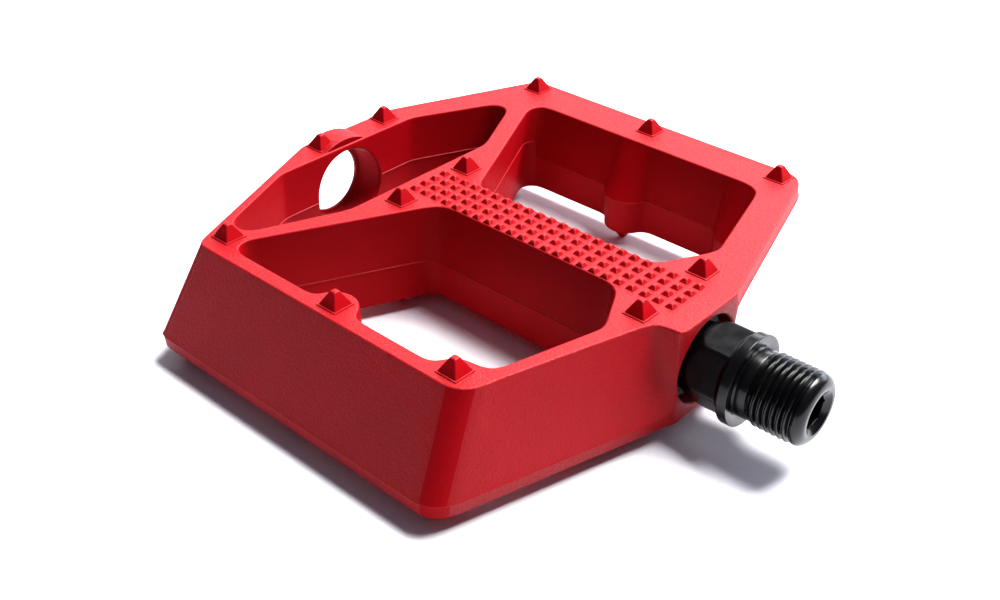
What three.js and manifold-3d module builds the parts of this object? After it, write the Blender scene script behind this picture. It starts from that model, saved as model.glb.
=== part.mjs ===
// Flat pedal: moulded nylon platform turning on a steel spindle with loose-ball bearings.
// Millimetres. X runs along the spindle towards the crank arm, Y across the shoe, Z up.
// Sub-parts are drawn with X = 0 at the middle pins and moved to the box centre at the end.
// The platform is unchanged by half a turn about the spindle, so its underside is the top turned over.
import * as THREE from 'three';
import Module from 'manifold-3d';

const wasm = await Module();
wasm.setup();
const { Manifold, Mesh: SolidMesh } = wasm;

// ---------------------------------------------------------------- driving dimensions
const CENTRE_SHIFT = -10.95;        // moves X = 0 from the middle pins to the box centre
const HALF_THICKNESS = 10.5;        // platform faces at Z = +-10.5
const OUTER_PARTING_Z = 8.9;        // parting line of the outer walls
const WINDOW_PARTING_Z = 2.0;       // parting line of the two big windows
const OUTER_DRAFT_STEP = 0.25;      // outer walls stand out this much at the parting line
const WINDOW_DRAFT_STEP = 0.45;     // window walls stand in this much at the parting line
const END_WINDOW_DRAFT_STEP = 0.7;

const PIN_HEIGHT = 2.96;
const PIN_HALF_BASE = 2.17;
const PIN_HALF_TOP = 0.8;
const PIN_PLACES = [
  [-33.0, -42.6], [0, -44.4], [29.4, -44.3],            // near rail
  [-34.9, 53.5], [-0.9, 53.3], [32.9, 53.6],            // far rail
  [-19.0, -9.2], [-18.8, 10.3],                         // spine, outboard end
  [41.8, -9.0], [42.1, 10.4],                           // spine, inboard end
  [-49.6, -4.0], [-50.0, 15.6],                         // outboard wall
];

const KNURL_COLUMNS = 23;
const KNURL_ROWS = 4;
const KNURL_PITCH = 3.0;
const KNURL_FIRST_X = -20.4;
const KNURL_MID_Y = 0.83;
const KNURL_HALF_BASE = 1.12;
const KNURL_HALF_TOP = 0.3;
const KNURL_HEIGHT = 0.95;

const WALL_OUT_X = -52.8;           // outboard wall, outer face
const WALL_IN_X = -45.7;            // outboard wall, window face
const CROWN_RADIUS = 12.0;          // ring around the access hole, proud of both faces
const ACCESS_RADIUS = 9.2;
const ACCESS_LIP_RADIUS = 7.7;
const BOSS_FACE_X = 51.3;
const SPINE_END_X = -24.0;
const MOUTH_RADIUS = 9.0;
const POCKET_FLOOR_X = 40.5;
const BORE_RADIUS = 5.2;
const END_POCKET_RADIUS = 8.0;
const END_POCKET_FLOOR_X = -13.5;

const THREAD_MAJOR = 14.288 / 2;    // 9/16 in
const THREAD_PITCH = 25.4 / 20;     // 20 threads per inch, left hand
const THREAD_MINOR = THREAD_MAJOR - 0.6134 * THREAD_PITCH;
const THREAD_START_X = 63.6;
const THREAD_END_X = 72.4;
const SPINDLE_END_X = 74.7;
const COLLAR_FACE_X = 61.15;
const COLLAR_RADIUS = 9.1;
const HEX_FLATS = 15.0;
const HEX_START_X = 50.6;
const HEX_END_X = 58.8;
const HEX_TURN = THREE.MathUtils.degToRad(8);   // the spindle's rest position about X
const SOCKET_MOUTH_X = 74.0;        // foot of the socket's countersink
const SOCKET_FLATS = 6.0;
const SOCKET_DEPTH = 7.0;

const BALL_RADIUS = 3.175 / 2;      // 1/8 in balls
const INBOARD_BALLS = 12;
const INBOARD_BALL_X = 44.0;
const INBOARD_BALL_CIRCLE = 6.4;
const OUTBOARD_BALLS = 9;
const OUTBOARD_BALL_X = -16.6;
const OUTBOARD_BALL_CIRCLE = 5.5;

const ROUND_SEGMENTS = 36;
const SMALL_SEGMENTS = 24;

// ---------------------------------------------------------------- materials
const look = (color, roughness, metalness) =>
  new THREE.MeshStandardMaterial({ color, roughness, metalness });
const redNylon = look(0xc8202c, 0.55, 0.0);
const blackSteel = look(0x1b1b1e, 0.35, 0.85);
const bearingSteel = look(0xb9bcc0, 0.25, 1.0);
const zincSteel = look(0x9a9da1, 0.4, 1.0);
const sealRubber = look(0x101012, 0.8, 0.0);
const capPlastic = look(0x17171a, 0.6, 0.0);

// ---------------------------------------------------------------- solid helpers
function toSolid(geometry) {
  const source = geometry.getAttribute('position');
  const order = geometry.index ? Array.from(geometry.index.array)
    : Array.from({ length: source.count }, (_, i) => i);
  const points = [];
  const seen = new Map();
  const merged = order.map((i) => {
    const p = [source.getX(i), source.getY(i), source.getZ(i)];
    const key = p.map((v) => Math.round(v * 1e5)).join(',');
    if (!seen.has(key)) {
      seen.set(key, points.length / 3);
      points.push(...p);
    }
    return seen.get(key);
  });
  const triangles = [];
  for (let i = 0; i < merged.length; i += 3) {
    const [a, b, c] = merged.slice(i, i + 3);
    if (a !== b && b !== c && c !== a) triangles.push(a, b, c);
  }
  return new Manifold(new SolidMesh({
    numProp: 3,
    vertProperties: new Float32Array(points),
    triVerts: new Uint32Array(triangles),
  }));
}

function toGeometry(solid) {
  const mesh = solid.getMesh();
  const geometry = new THREE.BufferGeometry();
  const positions = new Float32Array(mesh.numVert * 3);
  for (let i = 0; i < mesh.numVert; i++) {
    for (let k = 0; k < 3; k++) positions[3 * i + k] = mesh.vertProperties[i * mesh.numProp + k];
  }
  geometry.setAttribute('position', new THREE.BufferAttribute(positions, 3));
  geometry.setIndex(new THREE.BufferAttribute(new Uint32Array(mesh.triVerts), 1));
  return geometry;
}

function fromTriangles(points, triangles) {
  const geometry = new THREE.BufferGeometry();
  geometry.setAttribute('position', new THREE.Float32BufferAttribute(points.flat(), 3));
  geometry.setIndex(triangles.flat());
  return geometry;
}

// Solid of revolution about X from a closed list of [x, radius].
function turned(profile, segments = ROUND_SEGMENTS) {
  const loop = [...profile, profile[0]].map(([x, r]) => new THREE.Vector2(r, x));
  const area = loop.slice(0, -1).reduce((sum, p, i) => sum + p.cross(loop[i + 1]), 0);
  if (area < 0) loop.reverse();
  const geometry = new THREE.LatheGeometry(loop, segments);
  geometry.rotateZ(-Math.PI / 2);
  let solid = toSolid(geometry);
  return solid;
}

// Prism along X with a regular six-sided section.
function hexPrism(flats, fromX, toX) {
  const corner = flats / Math.sqrt(3);
  const geometry = new THREE.CylinderGeometry(corner, corner, toX - fromX, 6);
  geometry.rotateZ(-Math.PI / 2);
  geometry.rotateX(Math.PI / 6);
  geometry.translate((fromX + toX) / 2, 0, 0);
  return toSolid(geometry);
}

// Skin through stacked loops of equal length, bottom to top, closed by flat ends.
function lofted(loops) {
  const count = loops[0].length;
  const points = loops.flat();
  const triangles = [];
  for (let layer = 0; layer + 1 < loops.length; layer++) {
    for (let i = 0; i < count; i++) {
      const j = (i + 1) % count;
      const a = layer * count + i, b = layer * count + j;
      triangles.push([a, b, b + count], [a, b + count, a + count]);
    }
  }
  const flat = (loop) => THREE.ShapeUtils.triangulateShape(
    loop.map(([x, y]) => new THREE.Vector2(x, y)), []);
  const top = (loops.length - 1) * count;
  for (const [a, b, c] of flat(loops[loops.length - 1])) triangles.push([top + a, top + b, top + c]);
  for (const [a, b, c] of flat(loops[0])) triangles.push([a, c, b]);
  return toSolid(fromTriangles(points, triangles));
}

// Square truncated pyramid standing on a face of the platform.
function point(x, y, halfBase, halfTop, height, sink = 0.3) {
  const foot = halfBase + (halfBase - halfTop) * sink / height;
  const ring = (half, z) => [[x - half, y - half, z], [x + half, y - half, z],
    [x + half, y + half, z], [x - half, y + half, z]];
  return lofted([ring(foot, HALF_THICKNESS - sink), ring(halfTop, HALF_THICKNESS + height)]);
}

const turnedOver = (solid) => solid.rotate([180, 0, 0]);
const add = (solids) => solids.reduce((sum, solid) => sum.add(solid));

function piece(name, solid, material) {
  const geometry = toGeometry(solid);
  geometry.translate(CENTRE_SHIFT, 0, 0);
  geometry.computeVertexNormals();
  const mesh = new THREE.Mesh(geometry, material);
  mesh.name = name;
  return mesh;
}

// ---------------------------------------------------------------- platform outlines
// Each row gives the top face's edge on the near (-Y) and far (+Y) side of one feature.
// The underside has the same edges with near and far exchanged.
const OUTER_EDGE = [
  [[51.3, -7.9], [51.3, 8.2]],       // boss face corner
  [[50.7, -9.35], [51.1, 8.9]],
  [[48.6, -9.6], [50.8, 9.6]],
  [[46.2, -10.1], [50.4, 10.7]],
  [[44.9, -12.2], [49.8, 12.8]],     // inboard arm
  [[36.3, -41.0], [38.6, 51.6]],
  [[35.6, -44.2], [37.8, 53.9]],
  [[34.4, -46.6], [36.7, 55.8]],
  [[32.6, -47.9], [35.1, 57.0]],
  [[30.6, -48.45], [33.2, 57.45]],   // rail, inboard end
  [[-34.2, -48.45], [-37.2, 57.45]], // rail, outboard end
  [[-35.3, -47.8], [-38.3, 56.7]],
  [[-36.3, -46.3], [-39.0, 55.0]],
  [[-52.8, -6.9], [-52.8, 20.2]],    // outboard wall corner
];
const BIG_WINDOW_EDGE = [
  [[30.6, -4.9], [31.0, 6.5]],       // spine
  [[32.6, -5.4], [33.0, 6.8]],
  [[34.4, -6.7], [34.2, 7.8]],
  [[39.0, -15.6], [39.0, 16.6]],     // inboard arm
  [[39.5, -17.4], [39.8, 19.0]],
  [[39.2, -19.0], [39.6, 20.6]],
  [[34.3, -37.6], [33.5, 42.8]],
  [[33.3, -39.4], [32.5, 44.9]],
  [[31.3, -40.2], [30.6, 46.1]],     // corner pin's pad
  [[28.4, -40.5], [28.0, 46.5]],
  [[26.2, -41.8], [25.5, 46.5]],
  [[25.0, -44.0], [24.2, 46.5]],
  [[23.4, -45.0], [22.5, 46.5]],
  [[6.9, -45.0], [6.9, 46.5]],       // middle pin's boss
  [[5.3, -44.4], [5.4, 46.5]],
  [[4.2, -42.6], [4.0, 46.5]],
  [[2.6, -40.9], [2.5, 46.5]],
  [[0.2, -40.1], [0.2, 46.5]],
  [[-2.3, -40.6], [-2.2, 46.5]],
  [[-4.2, -42.2], [-3.9, 46.5]],
  [[-5.1, -44.2], [-5.2, 46.5]],
  [[-6.7, -45.0], [-6.7, 46.5]],
  [[-26.2, -45.0], [-25.4, 46.5]],   // rail, outboard end
  [[-28.2, -44.2], [-27.6, 45.9]],
  [[-29.2, -42.2], [-28.6, 43.9]],
  [[-28.9, -40.4], [-28.3, 41.6]],
  [[-15.0, -11.6], [-13.4, 10.2]],   // outboard arm
  [[-13.4, -8.3], [-12.4, 8.0]],
  [[-11.6, -5.8], [-11.2, 6.8]],
  [[-9.2, -4.9], [-9.6, 6.5]],
];
const RAIL_SIDE_ROWS = [3, 22];      // rows of the big window on the inboard arm and the rail
const END_WINDOW_EDGE = [
  [[-24.0, -18.4], [-24.0, 21.0]],   // spine end
  [[-24.6, -20.6], [-24.6, 23.2]],   // outboard arm
  [[-31.3, -37.2], [-31.5, 37.4]],
  [[-32.6, -38.7], [-32.7, 39.0]],
  [[-34.6, -39.2], [-34.4, 39.6]],
  [[-36.6, -38.6], [-36.2, 39.1]],
  [[-37.9, -37.0], [-37.6, 37.6]],
  [[-45.5, -19.2], [-45.4, 20.9]],   // outboard wall
  [[-45.7, -17.6], [-45.7, 19.0]],
];

const flip = ([x, y]) => [x, -y];
const mix = (p, q, t) => p.map((v, i) => v + (q[i] - v) * t);

// Moves each corner of a plan loop along the normal of its two edges.
function offsetLoop(loop, distance) {
  const area = loop.reduce((sum, p, i) => {
    const q = loop[(i + 1) % loop.length];
    return sum + p[0] * q[1] - q[0] * p[1];
  }, 0);
  const side = Math.sign(area);
  return loop.map((p, i) => {
    const before = loop[(i + loop.length - 1) % loop.length];
    const after = loop[(i + 1) % loop.length];
    const normal = (a, b) => new THREE.Vector2(b[1] - a[1], a[0] - b[0]).normalize();
    const n1 = normal(before, p), n2 = normal(p, after);
    const sum = n1.clone().add(n2).normalize();
    const reach = distance * side / Math.max(0.5, sum.dot(n1));
    return [p[0] + sum.x * reach, p[1] + sum.y * reach];
  });
}

const atHeight = (loop, z) => loop.map(([x, y], i) => [x, y, typeof z === 'number' ? z : z[i]]);

// Loop right round the part from near rows and far rows, counter-clockwise from above.
function aroundLoop(rows, nearPick, farPick) {
  const near = rows.map(nearPick).reverse();
  const far = rows.map(farPick);
  return [...near, ...far];
}

function outerShell() {
  const nearTop = (row) => row[0], farTop = (row) => row[1];
  const top = aroundLoop(OUTER_EDGE, nearTop, farTop);
  const bottom = aroundLoop(OUTER_EDGE, (row) => flip(row[1]), (row) => flip(row[0]));
  const widest = offsetLoop(
    aroundLoop(OUTER_EDGE, (row) => flip(row[1]), farTop), OUTER_DRAFT_STEP);
  const half = OUTER_EDGE.length;
  // the boss face and the outboard wall stay flat
  const flatFace = (p, i) => {
    const k = i < half ? half - 1 - i : i - half;
    if (k === 0) return [BOSS_FACE_X, p[1]];
    if (k === half - 1) return [WALL_OUT_X, p[1]];
    return p;
  };
  const height = widest.map((_, i) => (i < half ? -OUTER_PARTING_Z : OUTER_PARTING_Z));
  return lofted([
    atHeight(bottom, -HALF_THICKNESS),
    atHeight(widest.map(flatFace), height),
    atHeight(top, HALF_THICKNESS),
  ]);
}

// Cutter of one big window: side -1 is the near one, +1 the far one.
function bigWindow(side) {
  const topPick = side < 0 ? 0 : 1;
  const inward = side < 0 ? -1 : 1;
  const rows = BIG_WINDOW_EDGE;
  let top = rows.map((row) => row[topPick]);
  let bottom = rows.map((row) => flip(row[1 - topPick]));
  // the narrowest loop takes the tighter of the two edges on the spine and on the rail
  let middle = rows.map((row, i) => {
    const a = top[i], b = bottom[i];
    const spine = Math.abs(a[1]) < 25;
    const chooseA = spine ? Math.abs(a[1]) > Math.abs(b[1]) : Math.abs(a[1]) < Math.abs(b[1]);
    return chooseA ? a : b;
  });
  middle = offsetLoop(middle, -WINDOW_DRAFT_STEP);
  // the line lies low on walls that face -Y and high on walls that face +Y
  let height = middle.map((_, i) => {
    const onRail = i >= RAIL_SIDE_ROWS[0] && i <= RAIL_SIDE_ROWS[1];
    return inward * WINDOW_PARTING_Z * (onRail ? -1 : 1);
  });
  if (side < 0) {
    [top, bottom, middle, height] = [top, bottom, middle, height].map((list) => [...list].reverse());
  }
  return lofted([
    atHeight(bottom, -HALF_THICKNESS - 2),
    atHeight(bottom, -HALF_THICKNESS),
    atHeight(middle, height),
    atHeight(top, HALF_THICKNESS),
    atHeight(top, HALF_THICKNESS + 2),
  ]);
}

function endWindow() {
  const rows = END_WINDOW_EDGE;
  const loop = (nearPick, farPick) => [...rows.map(farPick), ...rows.map(nearPick).reverse()];
  const top = loop((row) => row[0], (row) => row[1]);
  const bottom = loop((row) => flip(row[1]), (row) => flip(row[0]));
  const middle = offsetLoop(top.map((p, i) => mix(p, bottom[i], 0.5)), -END_WINDOW_DRAFT_STEP);
  return lofted([
    atHeight(bottom, -HALF_THICKNESS - 2),
    atHeight(bottom, -HALF_THICKNESS),
    atHeight(middle, 0),
    atHeight(top, HALF_THICKNESS),
    atHeight(top, HALF_THICKNESS + 2),
  ]);
}

function platformBody() {
  const crown = turned([[WALL_OUT_X, 0], [WALL_OUT_X, CROWN_RADIUS - 0.6],
    [WALL_OUT_X + 0.6, CROWN_RADIUS], [WALL_IN_X - 0.6, CROWN_RADIUS],
    [WALL_IN_X, CROWN_RADIUS - 0.6], [WALL_IN_X, 0]]);
  const accessHole = turned([[-43, 0], [-43, ACCESS_RADIUS + 0.6], [WALL_IN_X, ACCESS_RADIUS + 0.4],
    [WALL_IN_X - 0.4, ACCESS_RADIUS], [-51.6, ACCESS_RADIUS - 0.7], [-51.9, ACCESS_LIP_RADIUS],
    [-54, ACCESS_LIP_RADIUS], [-54, 0]]);
  const bore = turned([[53, 0], [53, MOUTH_RADIUS + 0.4], [BOSS_FACE_X, MOUTH_RADIUS + 0.4],
    [BOSS_FACE_X - 0.4, MOUTH_RADIUS], [POCKET_FLOOR_X, MOUTH_RADIUS],
    [POCKET_FLOOR_X, BORE_RADIUS], [END_POCKET_FLOOR_X, BORE_RADIUS],
    [END_POCKET_FLOOR_X, END_POCKET_RADIUS], [-26, END_POCKET_RADIUS], [-26, 0]]);

  let body = outerShell().subtract(bigWindow(-1)).subtract(bigWindow(1)).subtract(endWindow());
  body = body.add(crown);

  const points = PIN_PLACES.map(([x, y]) => point(x, y, PIN_HALF_BASE, PIN_HALF_TOP, PIN_HEIGHT));
  for (let column = 0; column < KNURL_COLUMNS; column++) {
    for (let row = 0; row < KNURL_ROWS; row++) {
      const x = KNURL_FIRST_X + column * KNURL_PITCH;
      const y = KNURL_MID_Y + (row - (KNURL_ROWS - 1) / 2) * KNURL_PITCH;
      points.push(point(x, y, KNURL_HALF_BASE, KNURL_HALF_TOP, KNURL_HEIGHT, 0.15));
    }
  }
  const face = add(points);
  return body.add(face).add(turnedOver(face)).subtract(bore).subtract(accessHole);
}

// ---------------------------------------------------------------- spindle
// Left-hand screw ridge wound as one strip; the end of each turn meets the start of the next.
function threadSolid() {
  const columns = 20;
  const profile = [[0, THREAD_MINOR], [0.25, THREAD_MINOR], [0.5625, THREAD_MAJOR],
    [0.6875, THREAD_MAJOR]];
  const startX = THREAD_START_X - 2 * THREAD_PITCH;
  const steps = Math.ceil((THREAD_END_X - startX) / THREAD_PITCH + 1) * columns;
  const points = [];
  const place = (step, share, radius) => {
    const angle = -(2 * Math.PI * step) / columns;
    const x = startX + (step / columns + share) * THREAD_PITCH;
    points.push([x, radius * Math.cos(angle), radius * Math.sin(angle)]);
    return points.length - 1;
  };
  const edge = [];
  for (let step = 0; step <= steps + columns; step++) edge.push(place(step, ...profile[0]));
  const strip = [];
  for (let step = 0; step <= steps; step++) {
    strip.push([edge[step], ...profile.slice(1).map((p) => place(step, ...p)), edge[step + columns]]);
  }
  const triangles = [];
  for (let step = 0; step < steps; step++) {
    for (let i = 0; i < profile.length; i++) {
      const a = strip[step][i], b = strip[step][i + 1];
      const c = strip[step + 1][i + 1], d = strip[step + 1][i];
      triangles.push([a, b, c], [a, c, d]);
    }
  }
  const startRim = [...edge.slice(0, columns), ...strip[0].slice(1).reverse()];
  const endRim = [...edge.slice(steps, steps + columns), ...strip[steps].slice(1).reverse()];
  const startHub = points.push([startX - 1, 0, 0]) - 1;
  const endHub = points.push([points[edge[steps + columns]][0] + 1, 0, 0]) - 1;
  startRim.forEach((a, i) => triangles.push([startHub, a, startRim[(i + 1) % startRim.length]]));
  endRim.forEach((a, i) => triangles.push([endHub, endRim[(i + 1) % endRim.length], a]));
  const solid = toSolid(fromTriangles(points, triangles));
  const envelope = turned([[THREAD_START_X, 0], [THREAD_START_X, THREAD_MINOR - 0.1],
    [THREAD_START_X + 0.8, THREAD_MAJOR + 0.1], [THREAD_END_X - 0.3, THREAD_MAJOR + 0.1],
    [THREAD_END_X + 0.5, THREAD_MINOR], [THREAD_END_X + 0.5, 0]], 20);
  return solid.intersect(envelope);
}

function spindle() {
  const core = turned([
    [-23.4, 0], [-23.4, 2.7], [-23.0, 3.0], [-9.6, 3.0], [-9.2, 3.5],   // outboard thread
    [40.2, 3.85], [47.2, 3.85], [47.2, 6.4],                            // taper, race seat
    [49.4, 6.4], [49.4, 7.0], [HEX_START_X + 0.3, 7.0],                 // seal journal
    [HEX_START_X + 0.3, 6.8], [57.3, 6.8], [57.75, 7.35],
    [59.0, 8.85], [59.25, COLLAR_RADIUS], [61.0, COLLAR_RADIUS],        // shoulder and collar
    [COLLAR_FACE_X, 8.95], [COLLAR_FACE_X, 7.4],                        // crank arm seat
    [COLLAR_FACE_X - 0.2, 7.2], [COLLAR_FACE_X - 0.2, 6.7],             // undercut
    [THREAD_START_X - 0.2, 6.7], [THREAD_START_X + 0.2, 6.3], [THREAD_END_X, 6.3],
    [THREAD_END_X, THREAD_MINOR + 0.5], [73.25, 6.8], [73.91, 6.45], [74.4, 5.9],   // rounded end
    [SPINDLE_END_X, 5.1], [SPINDLE_END_X, 4.4],
    [SOCKET_MOUTH_X, 3.55], [SOCKET_MOUTH_X, 0]], 28);
  const ends = turned([[HEX_START_X, 0], [HEX_START_X, 7.3], [54.0, 8.8],
    [HEX_END_X, 8.8], [HEX_END_X, 0]]);
  const hexagon = hexPrism(HEX_FLATS, HEX_START_X, HEX_END_X).intersect(ends);
  const socket = hexPrism(SOCKET_FLATS, SPINDLE_END_X - SOCKET_DEPTH, SPINDLE_END_X + 1);
  return core.add(hexagon).add(threadSolid()).subtract(socket)
    .rotate([THREE.MathUtils.radToDeg(HEX_TURN), 0, 0]);
}

// ---------------------------------------------------------------- bearings and small parts
const dustSeal = () => turned([[46.8, 6.6], [46.8, 8.75], [48.5, 8.75], [48.5, 7.9], [48.9, 7.3],
  [48.9, 6.6]]);

const inboardCup = () => turned([[40.8, 5.3], [42.15, 5.3], [42.15, 7.1], [43.0, 8.1],
  [46.5, 8.1], [46.5, 8.7], [40.8, 8.7]]);

const inboardRace = () => turned([[43.0, 4.1], [43.0, 4.55], [45.0, 4.55], [45.75, 5.2],
  [45.85, 6.0], [46.9, 6.0], [46.9, 4.1]], SMALL_SEGMENTS);

const outboardCup = () => turned([[-13.8, 4.4], [-13.8, 7.7], [-19.0, 7.7], [-19.0, 7.25],
  [-15.7, 7.25], [-14.8, 6.3], [-14.8, 4.4]]);

const adjustingCone = () => turned([[-15.2, 3.25], [-15.2, 3.65], [-17.2, 3.65], [-18.3, 4.6],
  [-18.5, 5.6], [-20.3, 5.6], [-20.3, 3.25]], SMALL_SEGMENTS);

function lockWasher() {
  const keyway = new THREE.BoxGeometry(2, 1.2, 1.6);
  keyway.translate(-20.9, 0, 3.6);
  return turned([[-20.6, 3.25], [-20.6, 5.4], [-21.3, 5.4], [-21.3, 3.25]], SMALL_SEGMENTS)
    .subtract(toSolid(keyway));
}

function lockNut() {
  const hole = turned([[-24, 0], [-24, 3.25], [-21, 3.25], [-21, 0]], SMALL_SEGMENTS);
  const corners = turned([[-23.3, 0], [-23.3, 5.3], [-22.9, 6.2], [-21.6, 6.2], [-21.6, 0]],
    SMALL_SEGMENTS);
  return hexPrism(10, -23.3, -21.6).intersect(corners).subtract(hole);
}

const dustCap = () => turned([[-25.0, 0], [-25.0, 6.9], [-24.6, 7.7], [-23.8, 7.7], [-23.8, 0]]);

function bearingBalls(name, count, x, circle) {
  const balls = [];
  for (let i = 0; i < count; i++) {
    const angle = (2 * Math.PI * i) / count;
    const geometry = new THREE.IcosahedronGeometry(BALL_RADIUS, 1);
    geometry.translate(x, circle * Math.cos(angle), circle * Math.sin(angle));
    balls.push(piece(`${name}_${String(i + 1).padStart(2, '0')}`, toSolid(geometry), bearingSteel));
  }
  return balls;
}

// ---------------------------------------------------------------- assembly
const pedal = new THREE.Group();
pedal.name = 'flat_pedal';
pedal.add(
  piece('platform_body', platformBody(), redNylon),
  piece('spindle', spindle(), blackSteel),
  piece('dust_seal', dustSeal(), sealRubber),
  piece('inboard_cup', inboardCup(), bearingSteel),
  piece('inboard_race', inboardRace(), bearingSteel),
  piece('outboard_cup', outboardCup(), bearingSteel),
  piece('adjusting_cone', adjustingCone(), zincSteel),
  piece('lock_washer', lockWasher(), zincSteel),
  piece('lock_nut', lockNut(), zincSteel),
  piece('dust_cap', dustCap(), capPlastic),
  ...bearingBalls('inboard_ball', INBOARD_BALLS, INBOARD_BALL_X, INBOARD_BALL_CIRCLE),
  ...bearingBalls('outboard_ball', OUTBOARD_BALLS, OUTBOARD_BALL_X, OUTBOARD_BALL_CIRCLE),
);

export default pedal;
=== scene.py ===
from math import cos, pi, radians, sin

import bmesh
import bpy
import numpy as np
from mathutils import Matrix, Vector


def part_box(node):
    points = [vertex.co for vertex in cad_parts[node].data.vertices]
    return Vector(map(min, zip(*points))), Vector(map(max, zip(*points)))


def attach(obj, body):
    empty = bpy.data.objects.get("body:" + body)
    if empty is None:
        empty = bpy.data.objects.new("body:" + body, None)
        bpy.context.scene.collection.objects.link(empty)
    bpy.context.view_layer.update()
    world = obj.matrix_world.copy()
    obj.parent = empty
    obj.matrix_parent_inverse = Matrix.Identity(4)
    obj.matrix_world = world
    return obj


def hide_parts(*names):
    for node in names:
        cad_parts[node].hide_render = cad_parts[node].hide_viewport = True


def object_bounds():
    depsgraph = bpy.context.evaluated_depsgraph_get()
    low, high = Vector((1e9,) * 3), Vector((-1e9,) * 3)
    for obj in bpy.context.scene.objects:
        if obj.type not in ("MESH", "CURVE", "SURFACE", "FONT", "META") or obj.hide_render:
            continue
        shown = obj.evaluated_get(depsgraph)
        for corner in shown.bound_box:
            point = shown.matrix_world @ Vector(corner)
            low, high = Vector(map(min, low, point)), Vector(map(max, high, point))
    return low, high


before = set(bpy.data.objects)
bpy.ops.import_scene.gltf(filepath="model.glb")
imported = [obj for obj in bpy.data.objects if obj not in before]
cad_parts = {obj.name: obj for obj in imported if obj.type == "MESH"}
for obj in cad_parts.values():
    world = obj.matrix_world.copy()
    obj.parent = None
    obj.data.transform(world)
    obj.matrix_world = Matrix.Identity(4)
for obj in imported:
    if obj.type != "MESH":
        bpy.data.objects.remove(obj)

# Flat pedal: the fine platform, spindle, seal and cap that stand for the CAD nodes, and their materials.
# Shapes are drawn in millimetres with X = 0 at the middle pins and moved to the frame in metres.
MM = 0.001
CAD_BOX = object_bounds()
BODY_LOW, BODY_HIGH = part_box("platform_body")
SPINDLE_LOW, SPINDLE_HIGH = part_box("spindle")

BOSS_FACE_X = 51.3
SHIFT = BODY_HIGH.x / MM - BOSS_FACE_X
PIN_HEIGHT = 2.96
HALF_THICKNESS = BODY_HIGH.z / MM - PIN_HEIGHT
OUTER_PARTING_Z = 7.5
WINDOW_PARTING_Z = 2.0
OUTER_DRAFT_STEP = 0.25
WINDOW_DRAFT_STEP = 0.45
END_WINDOW_DRAFT_STEP = 0.7
EDGE_RADIUS = 0.45
CORNER_REACH = 1.7
CRISP_REACH = 0.5
PARTING_RIDGE = 0.16
PARTING_HALF_HEIGHT = 0.16
PLAN_SPACING = 1.2
ROUND_STEPS = 4
EDGE_STEPS = 4
CUTTER_OVERRUN = 2

# Walls further inside the outline than the inset are window walls.
WINDOW_WALL_INSET = 1.7
LEVEL_NORMAL_Z = 0.7
CORNER_FROM_Y = 35
ARM_NORMAL_X = 0.88
RAIL_NORMAL_Y = 0.985
# Window walls and round outer corners get the lower specular level, which is painted shade that dims
# their reflection.
BASE_SPECULAR = 0.25
PAINTED_SHADE_SPECULAR = 0.07
POLISHED_GRAIN = 0.25

PIN_HALF_BASE = 2.17
PIN_HALF_TOP = 0.62
PIN_PLACES = [
    (-33.0, -42.6), (0, -44.4), (29.4, -44.3),
    (-34.9, 53.5), (-0.9, 53.3), (32.9, 53.6),
    (-19.0, -9.2), (-18.8, 10.3),
    (41.8, -9.0), (42.1, 10.4),
    (-49.6, -4.0), (-50.0, 15.6),
]
KNURL_COLUMNS = 23
KNURL_ROWS = 4
KNURL_PITCH = 2.96
KNURL_FIRST_X = -20.4
KNURL_MID_Y = 0.83
KNURL_HALF_BASE = 0.95
KNURL_HALF_TOP = 0.36
KNURL_HEIGHT = 0.75

WALL_OUT_X = -52.8
WALL_IN_X = -45.7
CROWN_RADIUS = 12.0
ACCESS_RADIUS = 9.2
ACCESS_LIP_RADIUS = 7.7
ACCESS_RIM = 0.35
MOUTH_RADIUS = 9.0
POCKET_FLOOR_X = 40.5
BORE_RADIUS = 5.2
END_POCKET_RADIUS = 8.0
END_POCKET_FLOOR_X = -13.5

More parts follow.
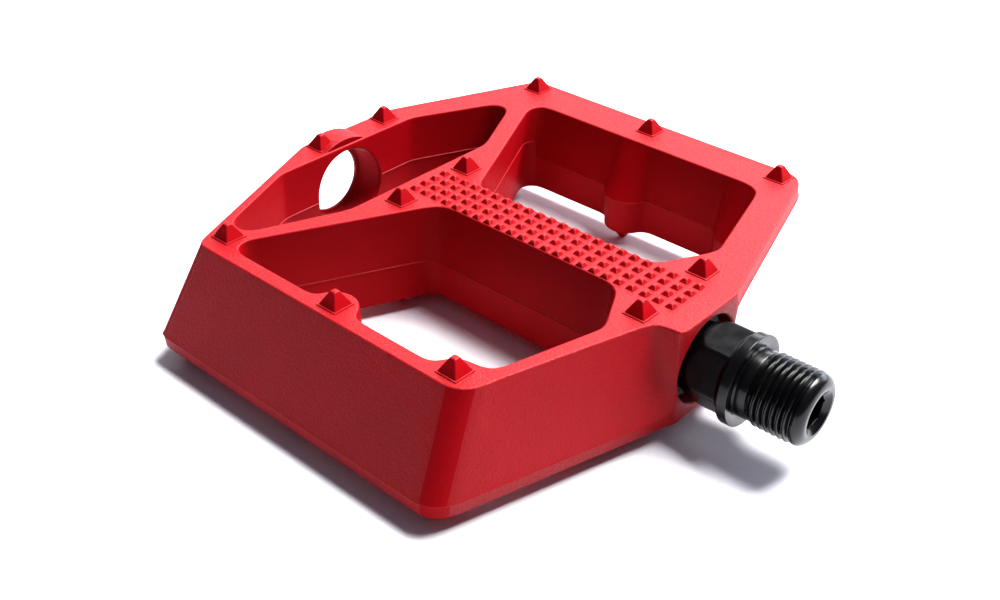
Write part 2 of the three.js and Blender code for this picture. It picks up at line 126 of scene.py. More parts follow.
# Top edge of the platform on the near (-Y) and far (+Y) side of each feature.
# The underside has the same edges with near and far exchanged.
OUTER_EDGE = [
    ((51.3, -7.9), (51.3, 8.2)),
    ((50.7, -9.35), (51.1, 8.9)),
    ((48.6, -9.6), (50.8, 9.6)),
    ((46.2, -10.1), (50.4, 10.7)),
    ((44.9, -12.2), (49.8, 12.8)),
    ((36.3, -41.0), (38.6, 51.6)),
    ((35.6, -44.2), (37.8, 53.9)),
    ((34.4, -46.6), (36.7, 55.8)),
    ((32.6, -47.9), (35.1, 57.0)),
    ((30.6, -48.45), (33.2, 57.45)),
    ((-34.2, -48.45), (-37.2, 57.45)),
    ((-35.3, -47.8), (-38.3, 56.7)),
    ((-36.3, -46.3), (-39.0, 55.0)),
    ((-52.8, -6.9), (-52.8, 20.2)),
]
BIG_WINDOW_EDGE = [
    ((30.6, -4.9), (31.0, 6.5)),
    ((32.6, -5.4), (33.0, 6.8)),
    ((34.4, -6.7), (34.2, 7.8)),
    ((39.0, -15.6), (39.0, 16.6)),
    ((39.5, -17.4), (39.8, 19.0)),
    ((39.2, -19.0), (39.6, 20.6)),
    ((34.3, -37.6), (33.5, 42.8)),
    ((33.3, -39.4), (32.5, 44.9)),
    ((31.3, -40.2), (30.6, 46.1)),
    ((28.4, -40.5), (28.0, 46.5)),
    ((26.2, -41.8), (25.5, 46.5)),
    ((25.0, -44.0), (24.2, 46.5)),
    ((23.4, -45.0), (22.5, 46.5)),
    ((6.9, -45.0), (6.9, 46.5)),
    ((5.3, -44.4), (5.4, 46.5)),
    ((4.2, -42.6), (4.0, 46.5)),
    ((2.6, -40.9), (2.5, 46.5)),
    ((0.2, -40.1), (0.2, 46.5)),
    ((-2.3, -40.6), (-2.2, 46.5)),
    ((-4.2, -42.2), (-3.9, 46.5)),
    ((-5.1, -44.2), (-5.2, 46.5)),
    ((-6.7, -45.0), (-6.7, 46.5)),
    ((-26.2, -45.0), (-25.4, 46.5)),
    ((-28.2, -44.2), (-27.6, 45.9)),
    ((-29.2, -42.2), (-28.6, 43.9)),
    ((-28.9, -40.4), (-28.3, 41.6)),
    ((-15.0, -11.6), (-13.4, 10.2)),
    ((-13.4, -8.3), (-12.4, 8.0)),
    ((-11.6, -5.8), (-11.2, 6.8)),
    ((-9.2, -4.9), (-9.6, 6.5)),
]
RAIL_SIDE_ROWS = (3, 22)
END_WINDOW_EDGE = [
    ((-24.0, -18.4), (-24.0, 21.0)),
    ((-24.6, -20.6), (-24.6, 23.2)),
    ((-31.3, -37.2), (-31.5, 37.4)),
    ((-32.6, -38.7), (-32.7, 39.0)),
    ((-34.6, -39.2), (-34.4, 39.6)),
    ((-36.6, -38.6), (-36.2, 39.1)),
    ((-37.9, -37.0), (-37.6, 37.6)),
    ((-45.5, -19.2), (-45.4, 20.9)),
    ((-45.7, -17.6), (-45.7, 19.0)),
]


# ---------------------------------------------------------------- mesh helpers
def new_object(name, points, faces):
    """A mesh object from points in drawing millimetres."""
    placed = [((x + SHIFT) * MM, y * MM, z * MM) for x, y, z in points]
    mesh = bpy.data.meshes.new(name)
    mesh.from_pydata(placed, [], faces)
    mesh.validate()
    mesh.update()
    obj = bpy.data.objects.new(name, mesh)
    bpy.context.scene.collection.objects.link(obj)
    return obj


def outward(obj):
    """Turns every face out."""
    work = bmesh.new()
    work.from_mesh(obj.data)
    bmesh.ops.recalc_face_normals(work, faces=work.faces)
    work.to_mesh(obj.data)
    work.free()
    return obj


def loft_faces(layers, count, first=0):
    """Quads between stacked loops of equal length, with a flat face at each end."""
    faces = []
    for layer in range(layers - 1):
        for i in range(count):
            j = (i + 1) % count
            a = first + layer * count
            faces.append((a + i, a + j, a + count + j, a + count + i))
    last = first + (layers - 1) * count
    faces.append(tuple(range(last, last + count)))
    faces.append(tuple(range(first + count - 1, first - 1, -1)))
    return faces


def lofted(name, loops):
    points = [p for loop in loops for p in loop]
    return outward(new_object(name, points, loft_faces(len(loops), len(loops[0]))))


def turned(name, profile, segments=128):
    """Solid of revolution about X from a closed list of (x, radius) that starts and ends on the axis."""
    inner = profile[1:-1]
    points = []
    for x, r in inner:
        for k in range(segments):
            a = 2 * pi * k / segments
            points.append((x, r * cos(a), r * sin(a)))
    return outward(new_object(name, points, loft_faces(len(inner), segments)))


def ring_turned(name, profile, segments=128):
    """Solid of revolution about X from a closed list of (x, radius) that stays off the axis."""
    count = len(profile)
    points = []
    for k in range(segments):
        a = 2 * pi * k / segments
        points.extend((x, r * cos(a), r * sin(a)) for x, r in profile)
    faces = []
    for k in range(segments):
        m = (k + 1) % segments
        for i in range(count):
            j = (i + 1) % count
            faces.append((k * count + i, k * count + j, m * count + j, m * count + i))
    return outward(new_object(name, points, faces))


def arc(cx, cr, radius, start, end, steps=5):
    """Points of a circular arc in (x, radius) about a centre, angles in degrees."""
    turns = [radians(start + (end - start) * k / steps) for k in range(steps + 1)]
    return [(cx + radius * cos(a), cr + radius * sin(a)) for a in turns]


def combine(base, others, operation):
    """Boolean of base with other objects, applied; the others are removed."""
    for other in others:
        modifier = base.modifiers.new("cut", "BOOLEAN")
        modifier.operation = operation
        modifier.solver = "MANIFOLD"
        modifier.object = other
        graph = bpy.context.evaluated_depsgraph_get()
        result = bpy.data.meshes.new_from_object(base.evaluated_get(graph))
        base.modifiers.clear()
        base.data = result
        bpy.data.objects.remove(other)
    return base


def smooth(obj, sharp_degrees):
    """Smooth shading with creases kept, and flat faces left flat."""
    work = bmesh.new()
    work.from_mesh(obj.data)
    bmesh.ops.remove_doubles(work, verts=work.verts, dist=1e-6)
    bmesh.ops.dissolve_degenerate(work, edges=work.edges, dist=1e-6)
    limit = radians(sharp_degrees)
    for edge in work.edges:
        edge.smooth = len(edge.link_faces) == 2 and edge.calc_face_angle(0) < limit
    for face in work.faces:
        face.smooth = True
    work.to_mesh(obj.data)
    work.free()
    weighted = obj.modifiers.new("flat faces", "WEIGHTED_NORMAL")
    weighted.mode = "FACE_AREA"
    weighted.weight = 60
    weighted.keep_sharp = True
    return obj


# ---------------------------------------------------------------- outline helpers
def flip(p):
    return (p[0], -p[1])


def unit(v):
    return v / np.linalg.norm(v)


def offset(loop, distance):
    """Moves each point of a plan loop out along the normal of its two edges."""
    p = np.array(loop, float)
    q = np.roll(p, -1, axis=0)
    side = np.sign(np.sum(p[:, 0] * q[:, 1] - q[:, 0] * p[:, 1]))
    along = q - p
    along /= np.linalg.norm(along, axis=1)[:, None]
    normal = np.stack([along[:, 1], -along[:, 0]], axis=1)
    both = normal + np.roll(normal, 1, axis=0)
    both /= np.linalg.norm(both, axis=1)[:, None]
    reach = distance * side / np.maximum(0.5, np.sum(both * normal, axis=1))
    return p + both * reach[:, None]


def edge_counts(loop, spacing):
    """How many steps each straight stretch of a loop takes."""
    p = np.array(loop, float)
    lengths = np.linalg.norm(np.roll(p, -1, axis=0) - p, axis=1)
    return [max(1, int(round(length / spacing))) for length in lengths]


def rounded(loop, counts, steps=ROUND_STEPS, crisp=()):
    """The loop with each corner turned into a curve, tighter at the crisp ones.

    Loops with the same counts always get the same number of points.
    """
    reaches = [CRISP_REACH if i in crisp else CORNER_REACH for i in range(len(loop))]
    p = [np.array(c, float) for c in loop]
    n = len(p)
    result = []
    for i in range(n):
        before, here, after = p[i - 1], p[i], p[(i + 1) % n]
        back, on = before - here, after - here
        start = here + unit(back) * min(reaches[i], 0.48 * np.linalg.norm(back))
        end = here + unit(on) * min(reaches[i], 0.48 * np.linalg.norm(on))
        for k in range(steps + 1):
            t = k / steps
            result.append(start * (1 - t) ** 2 + here * 2 * t * (1 - t) + end * t ** 2)
        leave = after + unit(here - after) * min(reaches[(i + 1) % n], 0.48 * np.linalg.norm(on))
        for k in range(1, counts[i]):
            result.append(end + (leave - end) * k / counts[i])
    return np.array(result)


def spread(values, counts, steps=ROUND_STEPS):
    """A value for each point of a rounded loop from one value for each corner."""
    n = len(values)
    result = []
    for i in range(n):
        result.extend([values[i]] * (steps + 1))
        for k in range(1, counts[i]):
            result.append(values[i] + (values[(i + 1) % n] - values[i]) * k / counts[i])
    return np.array(result)


def lift(plan, z):
    """Plan points at a height, one height or one for each point."""
    heights = np.broadcast_to(z, (len(plan),))
    return [(x, y, h) for (x, y), h in zip(plan, heights)]


def blend_loops(a, b, t):
    return [(pa[0] + (pb[0] - pa[0]) * t, pa[1] + (pb[1] - pa[1]) * t, pa[2] + (pb[2] - pa[2]) * t)
            for pa, pb in zip(a, b)]


# ---------------------------------------------------------------- platform
def edge_rounding(plan, outwards):
    """Loops from a wall's edge to the face over it: outwards is -1 on the outer wall, +1 in a window."""
    loops = []
    for k in range(EDGE_STEPS + 1):
        a = (pi / 2) * k / EDGE_STEPS
        step = EDGE_RADIUS * (1 - cos(a))
        height = HALF_THICKNESS - EDGE_RADIUS * (1 - sin(a))
        loops.append((offset(plan, outwards * step), height))
    return loops


def walls(bottom, middle, middle_z, top, outwards, ridge):
    """All loops of a wall from the lower face to the upper one, with its parting line."""
    low = [lift(plan, -z) for plan, z in reversed(edge_rounding(bottom, outwards))]
    high = [lift(plan, z) for plan, z in edge_rounding(top, outwards)]
    proud = lift(offset(middle, -outwards * ridge), middle_z)
    under = lift(middle, middle_z - PARTING_HALF_HEIGHT)
    over = lift(middle, middle_z + PARTING_HALF_HEIGHT)
    between = [blend_loops(low[-1], under, t) for t in (0.25, 0.5, 0.75)]
    above = [blend_loops(over, high[0], t) for t in (0.25, 0.5, 0.75)]
    return low + between + [under, proud, over] + above + high


def outer_shell():
    near = lambda row: row[0]
    far = lambda row: row[1]
    around = lambda pick_near, pick_far: (
        [pick_near(r) for r in reversed(OUTER_EDGE)] + [pick_far(r) for r in OUTER_EDGE])
    top = around(near, far)
    bottom = around(lambda r: flip(r[1]), lambda r: flip(r[0]))
    widest = around(lambda r: flip(r[1]), far)
    half = len(OUTER_EDGE)
    counts = edge_counts(widest, PLAN_SPACING)
    crisp = (half - 2, half - 1, half, half + 1)
    top, bottom = rounded(top, counts, crisp=crisp), rounded(bottom, counts, crisp=crisp)
    middle = offset(rounded(widest, counts, crisp=crisp), OUTER_DRAFT_STEP)
    middle_z = spread([-OUTER_PARTING_Z] * half + [OUTER_PARTING_Z] * half, counts)
    # the boss face and the outboard wall stay flat
    middle[:, 0] = np.clip(middle[:, 0], WALL_OUT_X, BOSS_FACE_X)
    loops = walls(bottom, middle, middle_z, top, -1, PARTING_RIDGE)
    return lofted("platform", [
        [(min(max(x, WALL_OUT_X), BOSS_FACE_X), y, z) for x, y, z in loop] for loop in loops])


def big_window(side):
    pick = 0 if side < 0 else 1
    inward = -1 if side < 0 else 1
    top = [row[pick] for row in BIG_WINDOW_EDGE]
    bottom = [flip(row[1 - pick]) for row in BIG_WINDOW_EDGE]
    middle = []
    for a, b in zip(top, bottom):
        on_spine = abs(a[1]) < 25
        take_a = abs(a[1]) > abs(b[1]) if on_spine else abs(a[1]) < abs(b[1])
        middle.append(a if take_a else b)
    first, last = RAIL_SIDE_ROWS
    heights = [inward * WINDOW_PARTING_Z * (-1 if first <= i <= last else 1)
               for i in range(len(middle))]
    if side < 0:
        top, bottom, middle, heights = top[::-1], bottom[::-1], middle[::-1], heights[::-1]
    counts = edge_counts(top, PLAN_SPACING)
    top, bottom = rounded(top, counts), rounded(bottom, counts)
    middle = offset(rounded(middle, counts), -WINDOW_DRAFT_STEP)
    loops = walls(bottom, middle, spread(heights, counts), top, 1, PARTING_RIDGE)
    return lofted("window", open_ended(loops))


def open_ended(loops):
    """A cutter's loops carried past both faces."""
    beyond = HALF_THICKNESS + CUTTER_OVERRUN
    below = [(x, y, -beyond) for x, y, z in loops[0]]
    above = [(x, y, beyond) for x, y, z in loops[-1]]
    return [below] + loops + [above]


def end_window():
    around = lambda pick_near, pick_far: (
        [pick_far(r) for r in END_WINDOW_EDGE] + [pick_near(r) for r in reversed(END_WINDOW_EDGE)])
    top = around(lambda r: r[0], lambda r: r[1])
    bottom = around(lambda r: flip(r[1]), lambda r: flip(r[0]))
    middle = [((a[0] + b[0]) / 2, (a[1] + b[1]) / 2) for a, b in zip(top, bottom)]
    counts = edge_counts(top, PLAN_SPACING)
    top, bottom = rounded(top, counts), rounded(bottom, counts)
    middle = offset(rounded(middle, counts), -END_WINDOW_DRAFT_STEP)
    return lofted("window", open_ended(walls(bottom, middle, 0.0, top, 1, PARTING_RIDGE)))


def square_loop(x, y, half, corner, z, steps=3):
    """A square with rounded corners, counter-clockwise."""
    loop = []
    for quarter, (sx, sy) in enumerate([(1, 1), (-1, 1), (-1, -1), (1, -1)]):
        cx, cy = x + sx * (half - corner), y + sy * (half - corner)
        for k in range(steps + 1):
            a = (pi / 2) * (quarter + k / steps)
            loop.append((cx + corner * cos(a), cy + corner * sin(a), z))
    return loop


def grip_points(side):
    """Every pin and knurl of one face as one mesh."""
    points, faces = [], []

    def tower(loops):
        start = len(points)
        points.extend((x, side * y, side * z) for loop in loops for x, y, z in loop)
        faces.extend(loft_faces(len(loops), len(loops[0]), start))

    base = HALF_THICKNESS
    for x, y in PIN_PLACES:
        slope = (PIN_HALF_BASE - PIN_HALF_TOP) / (PIN_HEIGHT - 0.2)
        tower([square_loop(x, y, half, corner, base + z) for half, corner, z in [
            (PIN_HALF_BASE + 0.32, 0.25, -0.3), (PIN_HALF_BASE + 0.32, 0.25, 0.12),
            (PIN_HALF_BASE + 0.26, 0.25, 0.19), (PIN_HALF_BASE - 0.02, 0.22, 0.2),
            (PIN_HALF_BASE - 1.3 * slope, 0.22, 1.5),
            (PIN_HALF_TOP + 0.22 * slope, 0.3, PIN_HEIGHT - 0.22),
            (PIN_HALF_TOP + 0.02, 0.3, PIN_HEIGHT - 0.1),
            (PIN_HALF_TOP - 0.1, 0.3, PIN_HEIGHT - 0.03), (PIN_HALF_TOP - 0.26, 0.25, PIN_HEIGHT)]])
    for column in range(KNURL_COLUMNS):
        for row in range(KNURL_ROWS):
            x = KNURL_FIRST_X + column * KNURL_PITCH
            y = KNURL_MID_Y + (row - (KNURL_ROWS - 1) / 2) * KNURL_PITCH
            tower([square_loop(x, y, half, corner, base + z, 2) for half, corner, z in [
                (KNURL_HALF_BASE + 0.12, 0.2, -0.15), (KNURL_HALF_BASE, 0.2, 0.02),
                (KNURL_HALF_TOP + 0.14, 0.18, KNURL_HEIGHT - 0.14),
                (KNURL_HALF_TOP, 0.18, KNURL_HEIGHT - 0.03),
                (KNURL_HALF_TOP - 0.12, 0.12, KNURL_HEIGHT)]])
    return outward(new_object("grip", points, faces))


def platform():
    body = outer_shell()
    crown = turned("crown", [(WALL_OUT_X, 0), (WALL_OUT_X, 4)]
                   + arc(WALL_OUT_X + 0.9, CROWN_RADIUS - 0.9, 0.9, 180, 90)
                   + arc(WALL_IN_X - 0.9, CROWN_RADIUS - 0.9, 0.9, 90, 0)
                   + [(WALL_IN_X, 4), (WALL_IN_X, 0)])
    access = turned("access", [(-43, 0), (-43, ACCESS_RADIUS + ACCESS_RIM)]
                    + [(WALL_IN_X, ACCESS_RADIUS + ACCESS_RIM)]
                    + arc(WALL_IN_X - ACCESS_RIM, ACCESS_RADIUS + ACCESS_RIM, ACCESS_RIM, 0, -90)
                    + [(-51.6, ACCESS_RADIUS - 0.7), (-51.9, ACCESS_LIP_RADIUS)]
                    + [(-52.5, ACCESS_LIP_RADIUS), (-52.8, ACCESS_LIP_RADIUS + 0.3)]
                    + [(-54, ACCESS_LIP_RADIUS + 0.3), (-54, 0)])
    bore = turned("bore", [(53, 0), (53, MOUTH_RADIUS + 0.5), (BOSS_FACE_X, MOUTH_RADIUS + 0.5)]
                  + arc(BOSS_FACE_X - 0.5, MOUTH_RADIUS + 0.5, 0.5, 0, -90)
                  + [(POCKET_FLOOR_X, MOUTH_RADIUS),
                     (POCKET_FLOOR_X, BORE_RADIUS), (END_POCKET_FLOOR_X, BORE_RADIUS),
                     (END_POCKET_FLOOR_X, END_POCKET_RADIUS), (-26, END_POCKET_RADIUS), (-26, 0)])
    combine(body, [crown, grip_points(1), grip_points(-1)], "UNION")
    combine(body, [big_window(-1), big_window(1), end_window(), access, bore], "DIFFERENCE")
    return mark_smooth_and_shaded(smooth(body, 38))


def within(loop, x, y):
    """Whether a plan point lies inside a loop, from the edges crossed on its +X side."""
    after = np.roll(loop, -1, axis=0)
    spans = (loop[:, 1] > y) != (after[:, 1] > y)
    run = after[:, 1] - loop[:, 1]
    run = np.where(run == 0, 1e-9, run)
    crossing = loop[:, 0] + (y - loop[:, 1]) * (after[:, 0] - loop[:, 0]) / run
    return np.count_nonzero(spans & (crossing > x)) % 2 == 1


def mark_smooth_and_shaded(obj):
    """Marks the window walls and the round outer corners: their grain is smoothed, and their specular is
    lowered as painted shade.
    """
    near_top = [row[0] for row in reversed(OUTER_EDGE)]
    far_top = [row[1] for row in OUTER_EDGE]
    near_low = [flip(row[1]) for row in reversed(OUTER_EDGE)]
    far_low = [flip(row[0]) for row in OUTER_EDGE]
    top = offset(near_top + far_top, -WINDOW_WALL_INSET)
    low = offset(near_low + far_low, -WINDOW_WALL_INSET)
    values = []
    for face in obj.data.polygons:
        x, y, z = face.center / MM
        nx, ny, nz = face.normal
        if abs(nz) > LEVEL_NORMAL_Z:
            values.append(0.0)
            continue
        flat = (nx * nx + ny * ny) ** 0.5
        t = min(max(0.5 + z / (2 * HALF_THICKNESS), 0), 1)
        window_wall = within(low + (top - low) * t, x - SHIFT, y)
        round_corner = (abs(y) > CORNER_FROM_Y and abs(nx) / flat < ARM_NORMAL_X
                        and abs(ny) / flat < RAIL_NORMAL_Y)
        values.append(1.0 if window_wall or round_corner else 0.0)
    obj.data.attributes.new("smooth_and_shaded", "FLOAT", "FACE").data.foreach_set("value", values)
    return obj


# ---------------------------------------------------------------- spindle
THREAD_MAJOR = 14.288 / 2
THREAD_PITCH = 25.4 / 20
THREAD_DEPTH = 0.6134 * THREAD_PITCH
THREAD_START_X = 63.6
THREAD_END_X = 72.4
SPINDLE_END_X = SPINDLE_HIGH.x / MM - SHIFT
COLLAR_FACE_X = 61.15
COLLAR_RADIUS = 9.1
HEX_FLATS = 15.0
HEX_START_X = 50.6
HEX_END_X = 58.8
HEX_ROWS = 60
CHAMFER_START_RADIUS = 7.32
CHAMFER_FAR_X = 54.0
CHAMFER_FAR_RADIUS = 8.75
SHOULDER_X = 57.75
SHOULDER_RADIUS = 7.35
SHOULDER_SLOPE = 1.2
THREAD_ROW_STEP = 0.06
DOME_RADIUS = 2.2
COUNTERSINK_ROWS = 12
HEX_TURN = radians(8)
SOCKET_FLATS = 6.0
SOCKET_DEPTH = 7.0
SPINDLE_COLUMNS = 144


def hexagon_radius(flats, angle, softness=90):
    """Distance from the axis to a six-sided section with softened corners."""
    total = sum(max(0.0, cos(angle - radians(60 * k)) / (flats / 2)) ** softness for k in range(6))
    return total ** (-1 / softness)


def thread_radius(x, angle):
    """A 60 degree left-hand thread with a rounded root and a narrow crest."""
    phase = ((x - THREAD_START_X) / THREAD_PITCH + angle / (2 * pi)) % 1.0
    height = min(max(1 - (abs(phase - 0.5) - 0.08) / 0.36, 0), 1)
    height = height ** 1.15 if height < 0.5 else height
    return THREAD_MAJOR - THREAD_DEPTH * (1 - height)


def spindle():
    rows = []

    def row(x, radius):
        rows.append((x, [radius(2 * pi * k / SPINDLE_COLUMNS) for k in range(SPINDLE_COLUMNS)]))

    def rings(profile):
        for x, r in profile:
            row(x, lambda a, r=r: r)

    rings([(-23.4, 2.7), (-23.0, 3.0), (-9.6, 3.0), (-9.2, 3.5), (40.2, 3.85), (47.2, 3.85),
           (47.2, 6.4), (49.4, 6.4), (49.4, 7.0), (HEX_START_X, 7.0), (HEX_START_X, 7.2)])
    for k in range(HEX_ROWS + 1):
        x = HEX_START_X + 0.02 + (HEX_END_X - HEX_START_X - 0.02) * k / HEX_ROWS
        cone = CHAMFER_START_RADIUS + ((x - HEX_START_X) * (CHAMFER_FAR_RADIUS - CHAMFER_START_RADIUS)
                                       / (CHAMFER_FAR_X - HEX_START_X))
        shoulder = SHOULDER_RADIUS + max(0.0, x - SHOULDER_X) * SHOULDER_SLOPE if x > 57.6 else 0
        row(x, lambda a, cone=cone, shoulder=shoulder:
            max(min(hexagon_radius(HEX_FLATS, a), cone), shoulder))
    rings([(58.85, 8.72), (58.95, 8.82), (59.05, 8.88), (59.2, 9.04)]
          + arc(59.35, COLLAR_RADIUS - 0.12, 0.12, 150, 90, 3)
          + arc(COLLAR_FACE_X - 0.16, COLLAR_RADIUS - 0.16, 0.16, 90, 0, 4)
          + [(COLLAR_FACE_X, 7.4), (COLLAR_FACE_X - 0.2, 7.2), (COLLAR_FACE_X - 0.2, 6.85)]
          + arc(COLLAR_FACE_X + 0.35, 6.6, 0.15, 180, 90, 3)
          + [(THREAD_START_X - 0.35, 6.75), (THREAD_START_X - 0.15, 6.6), (THREAD_START_X, 6.35)])
    turns = int((THREAD_END_X - THREAD_START_X) / THREAD_ROW_STEP)
    for k in range(turns + 1):
        x = THREAD_START_X + 0.05 + (THREAD_END_X - THREAD_START_X) * k / turns
        lead = 6.25 + max(0.0, x - THREAD_START_X) * 1.1
        tail = 6.9 + max(0.0, THREAD_END_X - x) * 1.0
        row(x, lambda a, x=x, limit=min(lead, tail): min(thread_radius(x, a), limit))
    rings(arc(72.5, 4.85, DOME_RADIUS, 76, 4, 12) + [(SPINDLE_END_X, 4.75), (SPINDLE_END_X, 4.5)]
          + arc(SPINDLE_END_X - 0.15, 4.45, 0.15, 50, -30, 3)[1:])
    for k in range(COUNTERSINK_ROWS):
        x = SPINDLE_END_X - 0.16 - 0.09 * k
        cone = 4.28 - 1.15 * (SPINDLE_END_X - 0.16 - x)
        row(x, lambda a, cone=cone: max(hexagon_radius(SOCKET_FLATS, a), cone))
    row(SPINDLE_END_X - SOCKET_DEPTH, lambda a: hexagon_radius(SOCKET_FLATS, a))
    points = []
    for x, radii in rows:
        for k, r in enumerate(radii):
            a = 2 * pi * k / SPINDLE_COLUMNS + pi / 2 + HEX_TURN
            points.append((x, r * cos(a), r * sin(a)))
    obj = outward(new_object("spindle_fine", points, loft_faces(len(rows), SPINDLE_COLUMNS)))
    return smooth(obj, 50)


def dust_seal():
    return smooth(ring_turned("seal_fine", [
        (46.8, 6.65), (46.8, 8.75)] + arc(48.3, 8.55, 0.2, 90, 0, 3)
        + [(48.5, 8.1), (48.35, 7.85), (48.4, 7.6)] + arc(48.75, 7.3, 0.2, 120, 0, 4)
        + [(48.95, 6.65)]), 40)


def dust_cap():
    return smooth(turned("cap_fine", [
        (-25.0, 0), (-25.0, 5.6)] + arc(-24.75, 6.65, 0.25, 180, 110, 3)
        + [(-24.5, 7.6), (-24.4, 7.7), (-23.8, 7.7), (-23.8, 0)]), 40)


# ---------------------------------------------------------------- materials
def new_material(name):
    material = bpy.data.materials.new(name)
    material.use_nodes = True
    nodes, links = material.node_tree.nodes, material.node_tree.links
    shader = nodes["Principled BSDF"]
    place = nodes.new("ShaderNodeTexCoord")
    return material, nodes, links, shader, place.outputs["Object"]


def noise(nodes, links, place, scale, detail=3.0, roughness=0.55):
    node = nodes.new("ShaderNodeTexNoise")
    node.inputs["Scale"].default_value = scale
    node.inputs["Detail"].default_value = detail
    node.inputs["Roughness"].default_value = roughness
    links.new(place, node.inputs["Vector"])
    return node.outputs["Fac"]


def ramp(nodes, links, value, stops):
    node = nodes.new("ShaderNodeValToRGB")
    elements = node.color_ramp.elements
    while len(elements) > 1:
        elements.remove(elements[-1])
    elements[0].position, elements[0].color = stops[0][0], (*stops[0][1], 1)
    for position, colour in stops[1:]:
        elements.new(position).color = (*colour, 1)
    links.new(value, node.inputs["Fac"])
    return node.outputs["Color"]


def span(nodes, links, value, low, high):
    node = nodes.new("ShaderNodeMapRange")
    node.inputs["From Min"].default_value = 0.25
    node.inputs["From Max"].default_value = 0.75
    node.inputs["To Min"].default_value = low
    node.inputs["To Max"].default_value = high
    links.new(value, node.inputs["Value"])
    return node.outputs["Result"]


def bump(nodes, links, value, strength, distance, below=None):
    node = nodes.new("ShaderNodeBump")
    node.inputs["Strength"].default_value = strength
    node.inputs["Distance"].default_value = distance
    links.new(value, node.inputs["Height"])
    if below is not None:
        links.new(below, node.inputs["Normal"])
    return node.outputs["Normal"]


def moulded_nylon(name, base, deep, grain):
    """Glass-filled nylon: fine spark-eroded grain, slight clouding, satin."""
    material, nodes, links, shader, place = new_material(name)
    clouds = noise(nodes, links, place, 60, 4)
    specks = noise(nodes, links, place, 1900, 3, 0.7)
    fine = noise(nodes, links, place, 5200, 2, 0.5)
    colour = ramp(nodes, links, clouds, [(0.3, deep), (0.7, base)])
    links.new(colour, shader.inputs["Base Color"])
    links.new(span(nodes, links, specks, 0.42, 0.62), shader.inputs["Roughness"])
    # Marked faces get weaker grain and a lower specular level; the lower specular is painted shade.
    smooth_and_shaded = nodes.new("ShaderNodeAttribute")
    smooth_and_shaded.attribute_name = "smooth_and_shaded"
    grained = nodes.new("ShaderNodeMapRange")
    grained.inputs["To Min"].default_value = 1.0
    grained.inputs["To Max"].default_value = POLISHED_GRAIN
    links.new(smooth_and_shaded.outputs["Fac"], grained.inputs["Value"])
    normal = bump(nodes, links, specks, 1.0, grain * 1.8)
    links.new(grained.outputs["Result"], normal.node.inputs["Strength"])
    links.new(bump(nodes, links, fine, 0.4, grain * 0.6, normal), shader.inputs["Normal"])
    shine = nodes.new("ShaderNodeMapRange")
    shine.inputs["To Min"].default_value = BASE_SPECULAR
    shine.inputs["To Max"].default_value = PAINTED_SHADE_SPECULAR
    links.new(smooth_and_shaded.outputs["Fac"], shine.inputs["Value"])
    links.new(shine.outputs["Result"], shader.inputs["Specular IOR Level"])
    return material


def black_oxide(name):
    """Blackened steel, semi-gloss, with faint turning lines and mottling."""
    material, nodes, links, shader, place = new_material(name)
    stretch = nodes.new("ShaderNodeMapping")
    stretch.inputs["Scale"].default_value = (1, 0.05, 0.05)
    links.new(place, stretch.inputs["Vector"])
    lines = noise(nodes, links, stretch.outputs["Vector"], 9000, 2)
    mottle = noise(nodes, links, place, 350, 4)
    colour = ramp(nodes, links, mottle, [(0.3, (0.002, 0.002, 0.0025)), (0.7, (0.005, 0.005, 0.0055))])
    links.new(colour, shader.inputs["Base Color"])
    links.new(span(nodes, links, mottle, 0.2, 0.27), shader.inputs["Roughness"])
    links.new(bump(nodes, links, lines, 0.12, 0.00002), shader.inputs["Normal"])
    shader.inputs["Specular IOR Level"].default_value = 0.36
    return material


def seal_rubber(name):
    material, nodes, links, shader, place = new_material(name)
    grain = noise(nodes, links, place, 3500, 3)
    colour = ramp(nodes, links, grain, [(0.3, (0.006, 0.006, 0.006)), (0.7, (0.014, 0.014, 0.014))])
    links.new(colour, shader.inputs["Base Color"])
    links.new(span(nodes, links, grain, 0.45, 0.7), shader.inputs["Roughness"])
    links.new(bump(nodes, links, grain, 0.3, 0.00003), shader.inputs["Normal"])
    return material


def ground_steel(name, tone, rough_low, rough_high):
    material, nodes, links, shader, place = new_material(name)
    stretch = nodes.new("ShaderNodeMapping")
    stretch.inputs["Scale"].default_value = (1, 0.08, 0.08)
    links.new(place, stretch.inputs["Vector"])
    lines = noise(nodes, links, stretch.outputs["Vector"], 7000, 3)
    light = tuple(min(1, v * 1.15) for v in tone)
    links.new(ramp(nodes, links, lines, [(0.3, tone), (0.7, light)]), shader.inputs["Base Color"])
    links.new(span(nodes, links, lines, rough_low, rough_high), shader.inputs["Roughness"])
    links.new(bump(nodes, links, lines, 0.15, 0.00002), shader.inputs["Normal"])
    shader.inputs["Metallic"].default_value = 1.0
    return material


def floor_paper(name):
    material, nodes, links, shader, place = new_material(name)
    fibre = noise(nodes, links, place, 800, 4)
    colour = ramp(nodes, links, fibre, [(0.3, (0.76, 0.77, 0.82)), (0.7, (0.79, 0.80, 0.85))])
    links.new(colour, shader.inputs["Base Color"])
    shader.inputs["Roughness"].default_value = 0.7
    shader.inputs["Specular IOR Level"].default_value = 0.1
    return material


# ---------------------------------------------------------------- pieces on the frame
def paint(obj, material):
    obj.data.materials.clear()
    obj.data.materials.append(material)


def carry(obj, body, node, material):
    paint(obj, material)
    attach(obj, body)
    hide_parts(node)


red_nylon = moulded_nylon("red_nylon", (0.31, 0.002, 0.007), (0.27, 0.0015, 0.005), 0.00009)
cap_nylon = moulded_nylon("cap_nylon", (0.016, 0.016, 0.017), (0.011, 0.011, 0.012), 0.00005)
oxide = black_oxide("black_oxide")
rubber = seal_rubber("seal_rubber")
bearing_steel = ground_steel("bearing_steel", (0.55, 0.55, 0.57), 0.12, 0.25)
zinc_steel = ground_steel("zinc_steel", (0.45, 0.46, 0.48), 0.25, 0.42)

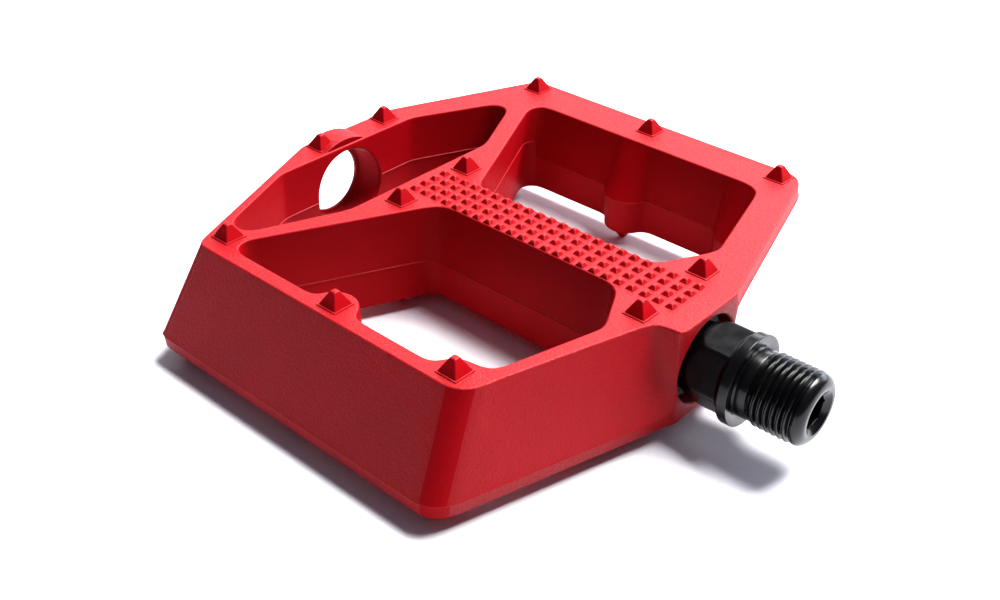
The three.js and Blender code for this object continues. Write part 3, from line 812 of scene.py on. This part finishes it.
carry(platform(), "platform", "platform_body", red_nylon)
carry(spindle(), "spindle", "spindle", oxide)
carry(dust_seal(), "platform", "dust_seal", rubber)
carry(dust_cap(), "platform", "dust_cap", cap_nylon)
for name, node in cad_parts.items():
    if name in ("lock_washer", "lock_nut"):
        paint(node, zinc_steel)
    elif name not in ("platform_body", "spindle", "dust_seal", "dust_cap"):
        paint(node, bearing_steel)

# ---------------------------------------------------------------- floor, light, camera
FLOOR_Z = CAD_BOX[0][2]
work = bmesh.new()
bmesh.ops.create_grid(work, x_segments=8, y_segments=8, size=6)
floor_mesh = bpy.data.meshes.new("floor")
work.to_mesh(floor_mesh)
work.free()
floor = bpy.data.objects.new("floor", floor_mesh)
bpy.context.scene.collection.objects.link(floor)
floor.location.z = FLOOR_Z
paint(floor, floor_paper("floor_paper"))


def softbox(name, place, target, width, height, watts, colour=(1, 1, 1)):
    light = bpy.data.lights.new(name, "AREA")
    light.shape = "RECTANGLE"
    light.size, light.size_y = width, height
    light.energy = watts
    light.color = colour
    obj = bpy.data.objects.new(name, light)
    bpy.context.scene.collection.objects.link(obj)
    obj.location = place
    obj.rotation_euler = (Vector(target) - Vector(place)).to_track_quat("-Z", "Y").to_euler()
    return obj


softbox("key_light", (0.13, 0.46, 0.87), (0, 0, 0), 0.6, 0.55, 33, (1.0, 0.99, 0.98))
softbox("side_fill", (0.25, 1.45, 0.45), (0.02, 0, 0), 1.0, 0.6, 10, (0.84, 0.90, 1.0))
softbox("back_wall", (-0.80, 1.20, 0.58), (0, 0, 0.0), 2.0, 0.5, 13, (0.93, 0.96, 1.0))

world = bpy.data.worlds.new("studio")
bpy.context.scene.world = world
world.use_nodes = True
world.node_tree.nodes["Background"].inputs["Color"].default_value = (0.82, 0.86, 1.0, 1)
world.node_tree.nodes["Background"].inputs["Strength"].default_value = 0.15

VIEW_TURN = 0.7147
VIEW_RISE = 0.5865
VIEW_ROLL = 0.0206
VIEW_DISTANCE = 238.085
VIEW_TARGET = Vector((10.3127 + SHIFT, -11.2514, 0))
LENS = 43.50
ahead = Vector((-sin(VIEW_TURN) * cos(VIEW_RISE), cos(VIEW_TURN) * cos(VIEW_RISE), -sin(VIEW_RISE)))
level = ahead.cross(Vector((0, 0, 1))).normalized()
upright = level.cross(ahead)
right = cos(VIEW_ROLL) * level + sin(VIEW_ROLL) * upright
up = -sin(VIEW_ROLL) * level + cos(VIEW_ROLL) * upright
camera_data = bpy.data.cameras.new("camera")
camera_data.sensor_width = 36
camera_data.lens = LENS
camera_data.clip_start = 0.01
camera = bpy.data.objects.new("camera", camera_data)
bpy.context.scene.collection.objects.link(camera)
place = (VIEW_TARGET - ahead * VIEW_DISTANCE) * MM
turn = Matrix((right, up, -ahead)).transposed().to_4x4()
camera.matrix_world = Matrix.Translation(place) @ turn
bpy.context.scene.camera = camera
bpy.context.scene.view_settings.view_transform = "Standard"
bpy.context.scene.view_settings.look = "Medium High Contrast"
